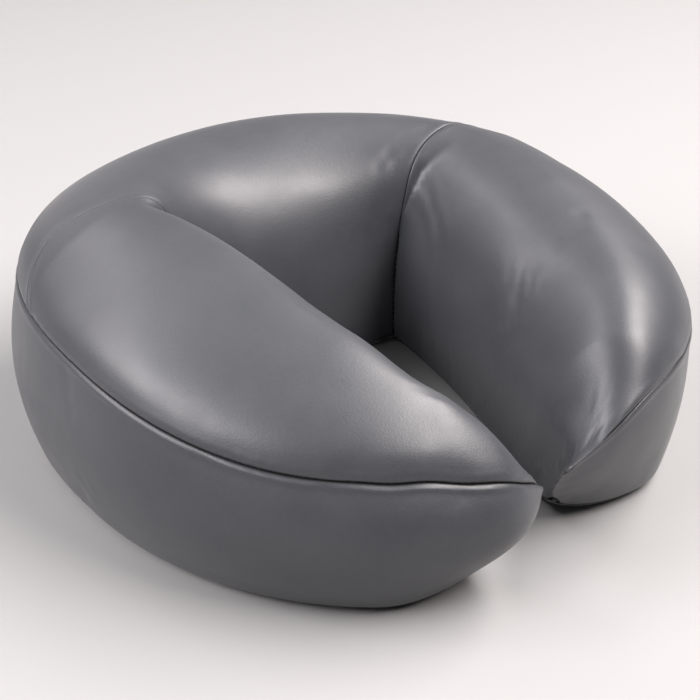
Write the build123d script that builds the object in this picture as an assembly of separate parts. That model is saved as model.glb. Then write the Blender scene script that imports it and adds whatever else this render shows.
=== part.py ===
from build123d import *
import os
from math import asin, cos, hypot, pi, radians, sin, sqrt

# Face cradle cushion: a horseshoe pad that rests on a massage table's face cradle.
# Millimetres. +Z up, +Y towards the crown of the head, the arms point along -Y.
# The origin is the centre of the bounding box, on the surface that the pad rests on.
os.makedirs("parts", exist_ok=True)

# Plan of the top seam, two half superellipses that meet on the X axis
SEAM_HALF_WIDTH = 146.0
SEAM_HALF_LENGTH = 152.5
SEAM_POWER_BACK = 2.45
SEAM_POWER_FRONT = 2.7
PLAN_SHIFT_Y = -1.34

# Face opening, measured on the resting surface
HOLE_BACK_HALF_WIDTH = 62.0
HOLE_BACK_Y = 42.0
HOLE_SIDE_BOW = 4.0
TIP_HALF_GAP = 9.0
TIP_BASE_HALF_GAP = 22.0
TIP_BASE_SETBACK = 8.0

# The cover is followed by a station that runs from 0 at the crown to 1 at an arm's tip
CROSS_SEAM_STATION = 0.33
MID_ARM_STATION = 0.68
LAST_STATION = 0.98
CROSS_SEAM_ANGLE = 75.0

# Heights along the cover: at the crown, the cross seam, the middle of the arm, the tip
SEAM_HEIGHTS = (84.0, 82.5, 75.5, 44.0)
CROWN_RISES = (26.0, 40.0, 37.0, 24.0)
CREST_SHARES = (0.57, 0.75, 0.76, 0.50)
INNER_POWERS = (2.1, 2.3, 1.95, 1.95)
OUTER_POWER = 1.85
TIP_EASE = 0.12
BAND_TUCK = 5.0
BAND_BULGE = 6.0
BAND_TIP_TUCK = 0.55
TUCK_START = 0.85

# Layers
VINYL = 1.2
CLEARANCE = 1.8
PILE_THICKNESS = 2.35
BASE_LOW = 2.4
BASE_FABRIC = 1.2
SEAM_THREAD = 0.6
THREAD_NEAR = 0.3
THREAD_FAR = 0.9
RING_WIDTH = 0.7
GAP = 0.05
FOAM_SPLIT = 56.0
FOAM_JOINT = 0.1
FOAM_FOOT = 2.2
FOAM_SETBACK = 0.02
FAR = 400.0

# Zip across the underside, below the crown
ZIP_Y = 112.0
ZIP_HALF_LENGTH = 66.0
ZIP_SLOT_HALF_WIDTH = 8.0
SLOT_MARGIN = 3.0
TAPE_WIDTH = 13.0
TAPE_THICKNESS = 0.6
TAPE_HALF_GAP = 1.2
TAPE_OVERRUN = 14.0
COIL_WIDTH = 2.4
COIL_THICKNESS = 1.25
SLIDER_LENGTH = 11.0
SLIDER_WIDTH = 8.4
SLIDER_PLATE = 0.8
SLIDER_CORNER = 2.5
SLIDER_GAP = 0.4
SLIDER_PLAY = 0.15
STOP_GAP = 1.2
WELD = 0.2
EAR_PLAY = 0.2
EAR_THICKNESS = 0.9
EAR_HALF_LENGTH = 0.6
EAR_REACH = 0.5
SLIDER_POST_WIDTH = 1.8
SLIDER_POST_LENGTH = 2.4
PULL_LENGTH = 22.0
PULL_WIDTH = 5.0
PULL_THICKNESS = 0.8
PULL_PIN_RADIUS = 0.3
PULL_EYE_RADIUS = 0.62
PULL_NECK_WIDTH = 2.4
PULL_NECK_LENGTH = 4.0
PULL_CORNER = 2.2
PULL_SLOT = (6.0, 2.2)
TAG_OVERLAP = 1.2
PULL_PIN_CLEARANCE = 0.04
PULL_PIN_Z = 0.75
STOP_SIZE = 1.8
ZIP_POCKET = 3.0

# Loop strips on the underside, the pad's hold on the cradle
STRIP_WIDTH = 38.0
ARM_STRIP_X = 96.0
ARM_STRIP_Y = -22.0
ARM_STRIP_LENGTH = 120.0
REAR_STRIP_Y = 74.0
REAR_STRIP_LENGTH = 110.0
STRIP_CORNER = 6.0

BASE_TOP = BASE_LOW + BASE_FABRIC
WALL_LOW = BASE_TOP + SEAM_THREAD + 2 * GAP
TIP_ANGLE = pi - asin((TIP_HALF_GAP / SEAM_HALF_WIDTH) ** (SEAM_POWER_FRONT / 2))


def along(station, values):
    """A smooth run through four heights, level where it crosses the crown."""
    u = abs(station)
    knots = (-CROSS_SEAM_STATION, 0.0, CROSS_SEAM_STATION, MID_ARM_STATION, 1.0)
    heights = (values[1],) + tuple(values)
    i = 1 if u < CROSS_SEAM_STATION else 2 if u < MID_ARM_STATION else 3
    slopes = []
    for k in (i, i + 1):
        last = min(k + 1, 4)
        slopes.append((heights[last] - heights[k - 1]) / (knots[last] - knots[k - 1]))
    span = knots[i + 1] - knots[i]
    t = (u - knots[i]) / span
    start = heights[i] * (2 * t**3 - 3 * t**2 + 1) + slopes[0] * span * (t**3 - 2 * t**2 + t)
    end = heights[i + 1] * (3 * t**2 - 2 * t**3) + slopes[1] * span * (t**3 - t**2)
    return start + end


def spoke(station):
    """The top seam's plan point at a station, and the way and distance to the face opening."""
    u = abs(station)
    side = 1 if station >= 0 else -1
    seam_angle = radians(CROSS_SEAM_ANGLE)
    arm = max(0.0, (u - CROSS_SEAM_STATION) / (1 - CROSS_SEAM_STATION))
    if u < CROSS_SEAM_STATION:
        angle = seam_angle * u / CROSS_SEAM_STATION
        inner_x = HOLE_BACK_HALF_WIDTH * u / CROSS_SEAM_STATION
        inner_y = HOLE_BACK_Y
    else:
        angle = seam_angle + (TIP_ANGLE - seam_angle) * arm
        tip_y = TIP_BASE_SETBACK - SEAM_HALF_LENGTH
        inner_x = HOLE_BACK_HALF_WIDTH + (TIP_BASE_HALF_GAP - HOLE_BACK_HALF_WIDTH) * arm
        inner_x += HOLE_SIDE_BOW * 4 * arm * (1 - arm)
        inner_y = HOLE_BACK_Y + (tip_y - HOLE_BACK_Y) * arm
    power = 2 / (SEAM_POWER_BACK if cos(angle) >= 0 else SEAM_POWER_FRONT)
    seam_x = SEAM_HALF_WIDTH * sin(angle) ** power
    seam_y = SEAM_HALF_LENGTH * abs(cos(angle)) ** power * (1 if cos(angle) >= 0 else -1)
    width = hypot(inner_x - seam_x, inner_y - seam_y)
    way = ((inner_x - seam_x) / width * side, (inner_y - seam_y) / width)
    return (seam_x * side, seam_y + PLAN_SHIFT_Y), way, width


def tip_share(station):
    """How far the cover has closed down towards the tip, from 1 in the arm to 0."""
    share = min(1.0, (1 - abs(station)) / TIP_EASE)
    return sqrt(share * (2 - share))


def tuck(station, width):
    """How far the band's lower edge is drawn in below the seam."""
    share = max(0.0, (abs(station) - TUCK_START) / (1 - TUCK_START)) ** 2
    return BAND_TUCK + (BAND_TIP_TUCK * width - BAND_TUCK) * share


def around(station, s):
    """A point of the cover's section: s runs 0 to 1 up the band, 1 to 2 over the face panel."""
    width = spoke(station)[2]
    seam = along(station, SEAM_HEIGHTS)
    rise = along(station, CROWN_RISES) * tip_share(station)
    crest = along(station, CREST_SHARES) * width
    if s <= 1:
        lean = tuck(station, width) * (1 - s) ** 2
        belly = BAND_BULGE * tip_share(station) * 4 * s * (1 - s)
        return lean - belly, WALL_LOW + (seam - WALL_LOW) * s
    if s <= 1.4:
        turn = (s - 1) / 0.4 * pi / 2
        power = 2 / OUTER_POWER
        return crest * (1 - abs(cos(turn)) ** power), seam + rise * sin(turn) ** power
    turn = (s - 1.4) / 0.6 * pi / 2
    power = 2 / along(station, INNER_POWERS)
    height = seam + rise - WALL_LOW
    return crest + (width - crest) * sin(turn) ** power, WALL_LOW + height * abs(cos(turn)) ** power


def skin_point(station, s, inset):
    """The same point in space, moved inwards by inset, square to the section."""
    step = 0.02
    back = around(station, max(0.0, s - step))
    ahead = around(station, min(2.0, s + step))
    length = hypot(ahead[0] - back[0], ahead[1] - back[1])
    q, z = around(station, s)
    q += inset * (ahead[1] - back[1]) / length
    z -= inset * (ahead[0] - back[0]) / length
    seam, way, _ = spoke(station)
    return (seam[0] + way[0] * q, seam[1] + way[1] * q, max(z, BASE_TOP + GAP))


def spread(low, high, count):
    """Evenly spaced values from low to high."""
    return [low + (high - low) * i / (count - 1) for i in range(count)]


def curve(points):
    """A smooth edge through points."""
    return Edge.make_spline([Vector(*p) for p in points])


def line(start, end):
    """A straight edge."""
    return Edge.make_line(Vector(*start), Vector(*end))


def strip_section(station, s_low, s_high, outer, inner, count):
    """The closed outline of a layer of the cover, cut along a spoke."""
    outside = [skin_point(station, s, outer) for s in spread(s_low, s_high, count)]
    inside = [skin_point(station, s, inner) for s in spread(s_high, s_low, count)]
    edges = [curve(outside), line(outside[-1], inside[0]), curve(inside), line(inside[-1], outside[0])]
    return Wire(edges)


def filled_section(station, inset, low):
    """The closed outline of everything inside the cover, cut along a spoke."""
    values = spread(0, 1, 7) + spread(1.08, 1.4, 5) + spread(1.48, 2, 7)
    points = [skin_point(station, s, inset) for s in values]
    foot = skin_point(station, 0, FOAM_FOOT * inset)
    points[0] = (foot[0], foot[1], low)
    points[-1] = (points[-1][0], points[-1][1], low)
    return Wire([curve(points), line(points[-1], points[0])])


def strip(stations, s_low, s_high, outer=0.0, inner=VINYL, count=9):
    """A layer of the cover, lofted through its spokes."""
    wires = [strip_section(u, s_low, s_high, outer, inner, count) for u in stations]
    return Solid.make_loft(wires)


def mirrored(solid):
    """The same piece on the other arm."""
    return solid.mirror(Plane.YZ)


# Stations on each side of the seams
SEAM_STEP = 0.002
TIP_INSET_STEP = 0.004
BAND_TOP = 0.988
FACE_LOW = 1.012
THREAD_BAND = 0.994
THREAD_FACE = 1.006
crown_end = CROSS_SEAM_STATION - 2 * SEAM_STEP
cheek_start = CROSS_SEAM_STATION + 2 * SEAM_STEP
crown_stations = spread(-crown_end, crown_end, 7)
cheek_stations = spread(cheek_start, LAST_STATION, 8)
round_stations = spread(0, LAST_STATION, 12)
round_stations = [-u for u in reversed(round_stations[1:])] + round_stations


def face_panels():
    """The crown panel and the two cheek panels, from the top seam over into the opening."""
    cheek = strip(cheek_stations, FACE_LOW, 2, count=13)
    return {
        "crown_panel": strip(crown_stations, FACE_LOW, 2, count=13),
        "right_cheek_panel": cheek,
        "left_cheek_panel": mirrored(cheek),
    }


def outer_band():
    """The band round the outside, turned in at both tips."""
    turn = LAST_STATION + 3 * SEAM_STEP
    band = strip([-turn] + round_stations + [turn], 0, BAND_TOP)
    ends = [filled_section(u, 0, WALL_LOW) for u in (turn, turn + 3 * SEAM_STEP)]
    end = Solid.make_loft(ends, True)
    return Part() + band + end + mirrored(end)


def thread_seams():
    """The rows of thread between the panels, each a narrow bead in the gap."""
    depth = (THREAD_NEAR, THREAD_FAR)
    half = SEAM_STEP / 2
    cross = strip([CROSS_SEAM_STATION - half, CROSS_SEAM_STATION + half], FACE_LOW, 2, *depth, 13)
    tip = strip([LAST_STATION + SEAM_STEP, LAST_STATION + 2 * SEAM_STEP], FACE_LOW, 2, *depth, 13)
    return {
        "right_cross_seam": cross,
        "left_cross_seam": mirrored(cross),
        "right_tip_seam": tip,
        "left_tip_seam": mirrored(tip),
        "top_seam": strip(round_stations, THREAD_BAND, THREAD_FACE, *depth, 3),
    }


def base_outline(inset):
    """The plan of the underside as a closed wire, drawn in by inset."""

    def plan(station, s):
        x, y, _ = skin_point(station, s, inset)
        return (x, y, 0)

    last = LAST_STATION - TIP_INSET_STEP * inset
    outer = [plan(u, 0) for u in [-last] + round_stations[1:-1] + [last]]
    corner = plan(CROSS_SEAM_STATION, 2)
    arm = [plan(u, 2) for u in spread(CROSS_SEAM_STATION, last, 6)]
    other_arm = [(-x, y, 0) for x, y, _ in arm]
    return Wire(
        [
            curve(outer),
            line(outer[-1], arm[-1]),
            curve(arm[::-1]),
            line(arm[0], other_arm[0]),
            curve(other_arm),
            line(other_arm[-1], outer[0]),
        ]
    )


def plate(wire, low, thickness):
    """A flat sheet of the wire's outline."""
    return Solid.extrude(Face(wire), Vector(0, 0, thickness)).moved(Location((0, 0, low)))


def block(x_low, x_high, y_low, y_high, z_low, z_high):
    """A square-edged block between limits."""
    box = Solid.make_box(x_high - x_low, y_high - y_low, z_high - z_low)
    return box.moved(Location((x_low, y_low, z_low)))


def underside():
    """The base fabric with its zip slot, and the ring of thread that closes it."""
    slot = ZIP_HALF_LENGTH + SLIDER_LENGTH + SLOT_MARGIN
    opening = block(-slot, slot, ZIP_Y - ZIP_SLOT_HALF_WIDTH, ZIP_Y + ZIP_SLOT_HALF_WIDTH, 0, WALL_LOW)
    ring_low = BASE_TOP + GAP
    ring = plate(base_outline(THREAD_NEAR), ring_low, SEAM_THREAD)
    hollow = plate(base_outline(THREAD_NEAR + RING_WIDTH), BASE_LOW, WALL_LOW)
    return {
        "base_panel": plate(base_outline(0), BASE_LOW, BASE_FABRIC).cut(opening),
        "base_seam": ring.cut(hollow),
    }


def stuffing(inset, low, last):
    """A horseshoe that fills the cover to an inset, as three lofts that meet at the cross seams."""
    arm_stations = spread(CROSS_SEAM_STATION, last, 8)
    middle_stations = spread(-CROSS_SEAM_STATION, CROSS_SEAM_STATION, 7)
    arm = Solid.make_loft([filled_section(u, inset, low) for u in arm_stations])
    middle = Solid.make_loft([filled_section(u, inset, low) for u in middle_stations])
    return middle.fuse(arm, mirrored(arm))


def foam_blocks():
    """The firm base foam and the slow-recovery foam that is glued on top of it."""
    horseshoe = stuffing(VINYL + CLEARANCE, BASE_TOP + 2 * GAP, LAST_STATION - FOAM_SETBACK)
    under = block(-FAR, FAR, -FAR, FAR, -FAR, FOAM_SPLIT)
    over = block(-FAR, FAR, -FAR, FAR, FOAM_SPLIT + FOAM_JOINT, FAR)
    pocket_x = ZIP_HALF_LENGTH + TAPE_OVERRUN + ZIP_POCKET
    pocket_y = TAPE_WIDTH + TAPE_HALF_GAP + ZIP_POCKET
    pocket = block(-pocket_x, pocket_x, ZIP_Y - pocket_y, ZIP_Y + pocket_y, 0, BASE_TOP + ZIP_POCKET)
    return {
        "foam_base": horseshoe.intersect(under).solids()[0].cut(pocket),
        "foam_topper": horseshoe.intersect(over).solids()[0],
    }


def rounded_strip(x, y, x_size, y_size):
    """A strip of pile with rounded corners, lying on the resting surface."""
    return Pos(x, y, 0) * extrude(RectangleRounded(x_size, y_size, STRIP_CORNER), PILE_THICKNESS)


def loop_strips():
    """Sewn-on loop strips that hold the pad on the cradle's hook strips."""
    arm = rounded_strip(ARM_STRIP_X, ARM_STRIP_Y, STRIP_WIDTH, ARM_STRIP_LENGTH)
    return {
        "right_loop_strip": arm,
        "left_loop_strip": arm.mirror(Plane.YZ),
        "rear_loop_strip": rounded_strip(0, REAR_STRIP_Y, REAR_STRIP_LENGTH, STRIP_WIDTH),
    }


def zip_parts():
    """The zip: two tapes, two coils, the stops, the slider and its pull."""
    tape_low = BASE_TOP + GAP
    tape_high = tape_low + TAPE_THICKNESS
    tape_x = ZIP_HALF_LENGTH + TAPE_OVERRUN
    near = ZIP_Y + TAPE_HALF_GAP
    tape = block(-tape_x, tape_x, near, near + TAPE_WIDTH, tape_low, tape_high)
    coil_high = BASE_TOP
    coil_low = coil_high - COIL_THICKNESS
    half = ZIP_HALF_LENGTH
    coil_near = ZIP_Y + GAP
    coil = block(-half, half, coil_near, coil_near + COIL_WIDTH, coil_low, coil_high)
    stop_x = half + SLIDER_LENGTH + STOP_GAP
    stop = block(stop_x, stop_x + STOP_SIZE, near, near + STOP_SIZE, coil_low, coil_high)
    end_x = -half - SLIDER_GAP
    end_y = COIL_WIDTH + SLIDER_GAP
    end = block(end_x - STOP_SIZE, end_x, ZIP_Y - end_y, ZIP_Y + end_y, coil_low, coil_high)
    flip = Plane.XZ.offset(-ZIP_Y)
    return {
        "zip_tape_rear": tape,
        "zip_tape_front": tape.mirror(flip),
        "zip_coil_rear": coil,
        "zip_coil_front": coil.mirror(flip),
        "zip_top_stops": Compound([stop, stop.mirror(flip)]),
        "zip_bottom_stop": end,
        **zip_slider(coil_low, tape_high),
    }


def zip_slider(coil_low, tape_high):
    """The slider, two plates on one post with two ears and a pin, and the pull that hangs on it."""
    middle = ZIP_HALF_LENGTH + SLIDER_LENGTH / 2 + SLIDER_GAP
    lower_high = coil_low - SLIDER_PLAY
    lower_low = lower_high - SLIDER_PLATE
    upper_low = tape_high + SLIDER_PLAY
    outline = RectangleRounded(SLIDER_LENGTH, SLIDER_WIDTH, SLIDER_CORNER)
    slider = Pos(middle, ZIP_Y, lower_low) * extrude(outline, SLIDER_PLATE)
    slider += Pos(middle, ZIP_Y, upper_low) * extrude(outline, SLIDER_PLATE)
    post_x = middle + SLIDER_LENGTH / 2 - SLIDER_POST_LENGTH
    half = SLIDER_POST_WIDTH / 2
    post = (post_x, post_x + SLIDER_POST_WIDTH, ZIP_Y - half, ZIP_Y + half)
    slider += block(*post, lower_high - WELD, upper_low + WELD)
    ear_near = PULL_NECK_WIDTH / 2 + EAR_PLAY
    ear_far = ear_near + EAR_THICKNESS
    ear_low = PULL_PIN_Z - EAR_REACH
    for y_low, y_high in ((ear_near, ear_far), (-ear_far, -ear_near)):
        ear = (middle - EAR_HALF_LENGTH, middle + EAR_HALF_LENGTH, ZIP_Y + y_low, ZIP_Y + y_high)
        slider += block(*ear, ear_low, lower_low + WELD)
    sideways = Rotation(90, 0, 0)
    at_pin = Pos(middle, ZIP_Y, PULL_PIN_Z)
    slider += at_pin * sideways * Cylinder(PULL_PIN_RADIUS, 2 * (ear_near + WELD))
    neck = Pos(-PULL_NECK_LENGTH / 2, 0) * Rectangle(PULL_NECK_LENGTH, PULL_THICKNESS)
    eye = Circle(PULL_EYE_RADIUS) + neck
    eye -= Circle(PULL_PIN_RADIUS + PULL_PIN_CLEARANCE)
    neck = sideways * extrude(eye, PULL_NECK_WIDTH / 2, both=True)
    tag_length = PULL_LENGTH - PULL_NECK_LENGTH
    tag = RectangleRounded(tag_length, PULL_WIDTH, PULL_CORNER)
    tag -= Pos(-PULL_LENGTH / 6, 0) * SlotOverall(*PULL_SLOT)
    tag_x = TAG_OVERLAP - PULL_NECK_LENGTH - tag_length / 2
    tag = Pos(tag_x, 0, -PULL_THICKNESS / 2) * extrude(tag, PULL_THICKNESS)
    return {"zip_slider": slider, "zip_pull": at_pin * (neck + tag)}


nodes = {}
nodes.update(face_panels())
nodes["outer_band"] = outer_band()
nodes.update(thread_seams())
nodes.update(underside())
nodes.update(foam_blocks())
nodes.update(loop_strips())
nodes.update(zip_parts())

for name, shape in nodes.items():
    export_step(shape, f"parts/{name}.step")
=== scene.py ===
import math

import bpy
import numpy as np
from mathutils import Matrix, Vector


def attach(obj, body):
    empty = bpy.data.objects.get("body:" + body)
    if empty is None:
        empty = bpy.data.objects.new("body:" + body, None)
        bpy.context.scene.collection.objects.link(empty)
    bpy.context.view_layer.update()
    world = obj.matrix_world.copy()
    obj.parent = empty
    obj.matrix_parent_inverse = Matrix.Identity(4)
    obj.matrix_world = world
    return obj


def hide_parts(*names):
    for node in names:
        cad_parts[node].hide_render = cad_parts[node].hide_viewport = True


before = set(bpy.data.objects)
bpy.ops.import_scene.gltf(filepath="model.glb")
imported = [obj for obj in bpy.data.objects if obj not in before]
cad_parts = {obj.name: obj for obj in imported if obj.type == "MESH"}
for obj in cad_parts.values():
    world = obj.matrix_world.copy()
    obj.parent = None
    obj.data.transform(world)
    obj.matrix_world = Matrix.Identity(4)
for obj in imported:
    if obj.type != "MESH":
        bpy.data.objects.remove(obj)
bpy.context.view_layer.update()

MM = 0.001
dice = np.random.default_rng(11)

# ---------------------------------------------------------------- shape of the cover, in mm
# A station says how far round the horseshoe a section lies: 0 at the crown's middle, 1 at an
# arm's tip. Where both arms are in one list the left arm's stations are negative, and side is
# 1 for the right arm and -1 for the left one.
CROSS = 0.33  # station of the cross seams
KNOTS = (0.0, CROSS, 0.68, 0.86, 0.93, 1.0)  # stations of the values in ARMS
LIFT = 2.4  # height of the cover's lower edge
SHIFT_Y = 1.2  # moves the cover to the middle of the CAD frame
VINYL = 1.2  # thickness
EASE = 0.644  # how early the face opening narrows along the arms
CREST_POWER = 1.732  # roundness of the face between the top seam and the crest
CROWN_DROP = 0.22  # how far the crown's top slopes down to its roll, as a part of its height
DROP_END = {1: 0.56, -1: 0.36}  # station where that slope is gone
TIP_EASE = {1: 0.30, -1: 0.14}  # length of an arm's rounded end, in stations
CLOSE_FROM = {1: 0.8, -1: 0.92}  # station where the face starts to close on the band's edge
TIP_FROM, TIP_LENGTH = 0.8, 0.2  # stations over which an arm's end lifts and tucks in
TIP_SET = 27.1  # how far the opening's inner edge ends before the tip
TIP_TUCK = 0.937  # how far the band's lower edge turns in at the tip, as a part of the width
BACK_LENGTH = 146.3  # from the origin to the crown's back
HOLE_HALF = 61.6  # the face opening's half width and its y, at the crown
HOLE_Y = 43.5
# Each arm: half width and length of the outline with its powers, angle of the cross seam in
# degrees, half gaps at the tip, bow of the inner edge and lift of the tip. Then, at KNOTS:
# seam is the top seam's height, rise the crest over it, crest its place across the width,
# inner the roundness down to the opening, belly the band's bulge, tuck how far its lower edge
# lies inside the seam, and push how far the seam is moved outwards.
ARMS = {
    1: dict(
        half=143.8, front=152.3, back_power=1.9, front_power=2.546, cross_angle=79.6,
        gap=7.3, bow=8.3, base_gap=15.3, tip_lift=12.7,
        seam=(81.3, 71.5, 67.6, 67.2, 59.2, 44.6),
        rise=(29.5, 37.0, 29.0, 22.0, 14.0, 8.0),
        crest=(0.42, 0.47, 0.44, 0.36, 0.30, 0.25),
        inner=(4.00, 3.80, 2.10, 2.00, 2.00, 2.00),
        belly=(8.2, 6.4, 1.9, 1.0, 2.0, 4.3),
        tuck=(4.0, 1.0, 6.2, 8.0, 4.6, 4.4),
        push=(1.8, 6.6, 0.3, 1.3, -0.3, -2.7),
    ),
    -1: dict(
        half=141.9, front=154.7, back_power=2.389, front_power=2.203, cross_angle=75.6,
        gap=3.0, bow=-6.7, base_gap=25.3, tip_lift=13.4,
        seam=(81.3, 80.1, 67.6, 62.6, 56.9, 42.2),
        rise=(29.5, 37.5, 33.2, 22.1, 20.3, 24.7),
        crest=(0.42, 0.69, 0.64, 0.573, 0.542, 0.573),
        inner=(4.00, 2.80, 2.35, 2.17, 2.08, 2.00),
        belly=(8.2, 6.6, 9.9, 12.8, 12.4, 11.0),
        tuck=(4.0, 1.7, 4.2, 1.9, 1.9, 2.3),
        push=(1.8, 2.4, 3.3, 2.0, 3.6, -6.6),
    ),
}


def run(u, values):
    """A smooth run through the values at KNOTS that never overshoots and is level at the crown."""
    x = np.array((-KNOTS[1],) + KNOTS)
    y = np.array((values[1],) + tuple(values))
    h = np.diff(x)
    d = np.diff(y) / h
    m = np.zeros(len(x))
    for k in range(1, len(x) - 1):
        if d[k - 1] * d[k] > 0:
            a, b = 2 * h[k] + h[k - 1], h[k] + 2 * h[k - 1]
            m[k] = (a + b) / (a / d[k - 1] + b / d[k])
    m[-1] = d[-1]
    m[0] = d[0]
    i = np.clip(np.searchsorted(x, u, side="right") - 1, 0, len(h) - 1)
    t = (u - x[i]) / h[i]
    return (
        y[i] * (2 * t**3 - 3 * t**2 + 1)
        + m[i] * h[i] * (t**3 - 2 * t**2 + t)
        + y[i + 1] * (3 * t**2 - 2 * t**3)
        + m[i + 1] * h[i] * (t**3 - t**2)
    )


def spokes(u, side):
    """Plan point of the top seam, and the way and the distance from it to the face opening."""
    arm = ARMS[side]
    tip = math.pi - math.asin((arm["gap"] / arm["half"]) ** (arm["front_power"] / 2))
    joint = math.radians(arm["cross_angle"])
    angle = np.where(u < CROSS, u / CROSS * joint, joint + (u - CROSS) / (1 - CROSS) * (tip - joint))
    s, c = np.sin(angle), np.cos(angle)
    power = 2 / np.where(c >= 0, arm["back_power"], arm["front_power"])
    x = arm["half"] * s**power
    y = np.where(c >= 0, BACK_LENGTH, arm["front"]) * np.sign(c) * np.abs(c) ** power
    t = np.clip((u - CROSS) / (1 - CROSS), 0, 1) ** EASE
    ix = np.where(
        u < CROSS,
        u / CROSS * HOLE_HALF,
        HOLE_HALF + (arm["base_gap"] - HOLE_HALF) * t + arm["bow"] * 4 * t * (1 - t),
    )
    iy = np.where(u < CROSS, HOLE_Y, HOLE_Y + (TIP_SET - arm["front"] - HOLE_Y) * t)
    width = np.hypot(ix - x, iy - y)
    wx, wy = (ix - x) / width, (iy - y) / width
    push = run(u, arm["push"])
    return x - wx * push, y - wy * push, wx, wy, width + push


FINE = 240  # points along a line before it is resampled
TIP_BOW_REACH = 0.03  # how far the tip seam's bow is felt, in stations
TIP_BOW_AT = (0.0, 0.12, 0.3, 0.5, 0.7, 0.87, 1.0)  # parts of the tip seam's height
TIP_BOW = {1: (-7.0, -4.0, 1.5, 5.0, 5.5, 3.5, 0.0), -1: (0.0,) * 7}
TIP_BOW_WAY = np.array([-0.8, 0.6, 0.0])
RIPPLE_FROM, RIPPLE_LENGTH = 0.74, 0.08  # the top seam's unevenness near the tips, in stations
RIPPLE_GROWS, RIPPLE_END, RIPPLE_DIES = 0.1, 0.985, 0.03
RIPPLE = {1: 0.6, -1: 0.5}  # its height
RIPPLE_FADE = 14  # how fast it fades up the face, as a power


def tip_share(u):
    """0 along an arm, rising to 1 at its tip."""
    return np.clip((u - TIP_FROM) / TIP_LENGTH, 0, 1) ** 2


def rounding(u, side):
    """1 along an arm, falling to 0 at its tip as a quarter circle does."""
    close = np.clip((1 - u) / TIP_EASE[side], 0, 1)
    return np.sqrt(close * (2 - close))


def seam_height(u, side):
    """Height of the top seam, a little uneven towards the tip."""
    share = np.clip((u - RIPPLE_FROM) / RIPPLE_GROWS, 0, 1)
    share = share * np.clip((RIPPLE_END - u) / RIPPLE_DIES, 0, 1)
    wave = np.sin(2 * math.pi * (u - RIPPLE_FROM) / RIPPLE_LENGTH + 0.6 * side)
    return run(u, ARMS[side]["seam"]) + RIPPLE[side] * wave * share


def place(u, side, q, z):
    """Points in space from distances q along the spokes and heights z."""
    x, y, wx, wy, _ = (value[:, None] for value in spokes(u, side))
    return np.stack([side * (x + wx * q), y + wy * q + SHIFT_Y, z + LIFT], -1)


def band_lines(u, side):
    """The band from its lower edge to the top seam, one line per station."""
    arm = ARMS[side]
    width = spokes(u, side)[4]
    s = np.linspace(0, 1, FINE)[None]
    tuck = run(u, arm["tuck"])
    tuck = tuck + (TIP_TUCK * width - tuck) * tip_share(u)
    belly = run(u, arm["belly"]) * rounding(u, side)
    low = arm["tip_lift"] * tip_share(u)
    q = tuck[:, None] * (1 - s) ** 2 - belly[:, None] * 4 * s * (1 - s)
    z = low[:, None] + (seam_height(u, side) - low)[:, None] * s
    points = place(u, side, q, z)
    at_tip = np.exp(-(((1 - u) / TIP_BOW_REACH) ** 2))[:, None, None]
    bow = np.interp(s[0], TIP_BOW_AT, TIP_BOW[side])[None, :, None]
    return points + at_tip * bow * TIP_BOW_WAY


def face_lines(u, side):
    """The face panels from the top seam over the crest and down to the inner lower edge."""
    arm = ARMS[side]
    width = spokes(u, side)[4]
    low = arm["tip_lift"] * tip_share(u)
    seam = run(u, arm["seam"])
    ripple = seam_height(u, side) - seam
    rise = run(u, arm["rise"]) * rounding(u, side)
    crest = run(u, arm["crest"]) * width
    power = run(u, arm["inner"])
    a = np.linspace(0, math.pi / 2, FINE // 2, endpoint=False)[None]
    b = np.linspace(0, math.pi / 2, FINE - FINE // 2)[None]
    q1 = crest[:, None] * (1 - np.cos(a) ** (2 / CREST_POWER))
    z1 = seam[:, None] + rise[:, None] * np.sin(a) ** (2 / CREST_POWER)
    z1 = z1 + ripple[:, None] * np.cos(a) ** RIPPLE_FADE
    e = (2 / power)[:, None]
    across = np.sin(b) ** e
    q2 = crest[:, None] + (width - crest)[:, None] * across
    drop = CROWN_DROP * np.clip(1 - (u / DROP_END[side]) ** 4, 0, 1)[:, None] ** 2 * across**1.5
    z2 = low[:, None] + (seam + rise - low)[:, None] * np.abs(np.cos(b)) ** e * (1 - drop)
    points = place(u, side, np.concatenate([q1, q2], 1), np.concatenate([z1, z2], 1))
    t = np.clip((u - CLOSE_FROM[side]) / (1 - CLOSE_FROM[side]), 0, 1)
    k = (1 - np.sqrt(1 - t**3))[:, None, None]
    return points + (band_lines(u, side)[:, ::-1] - points) * k


def both(t, lines):
    """lines() for stations of both arms, t negative on the left."""
    out = np.zeros((len(t), FINE, 3))
    for side in (1, -1):
        on = (t >= 0) if side == 1 else (t < 0)
        if on.any():
            out[on] = lines(np.abs(t[on]), side)
    return out


def travelled(line):
    """The distance along a line to each of its points."""
    return np.concatenate([[0], np.cumsum(np.linalg.norm(np.diff(line, axis=0), axis=1))])


def match(values, at, to):
    """Rows of values known at the rising positions at, read at the positions to."""
    return np.stack([np.interp(to, at, values[:, k]) for k in range(3)], -1)


def by_length(lines, rows):
    """Each line resampled at distances along it. rows(total) gives the distances."""
    out = []
    for line in lines:
        along = travelled(line)
        out.append(match(line, along, rows(along[-1])))
    return np.array(out)


# distances from a panel's edge of the rows of points nearest to it
EDGE_ROWS = np.array([0.12, 0.3, 0.6, 1.0, 1.5, 2.1, 2.8, 3.7, 4.8])


def edged(count):
    """Rows that crowd towards both ends, as distances."""

    def rows(total):
        scale = min(1.0, total / 4 / EDGE_ROWS[-1])
        near = EDGE_ROWS * scale
        middle = np.linspace(near[-1], total - near[-1], count)[1:-1]
        return np.concatenate([near, middle, (total - near)[::-1]])

    return rows


def even(count):
    """Rows at equal distances."""
    return lambda total: np.linspace(0, total, count)


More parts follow.
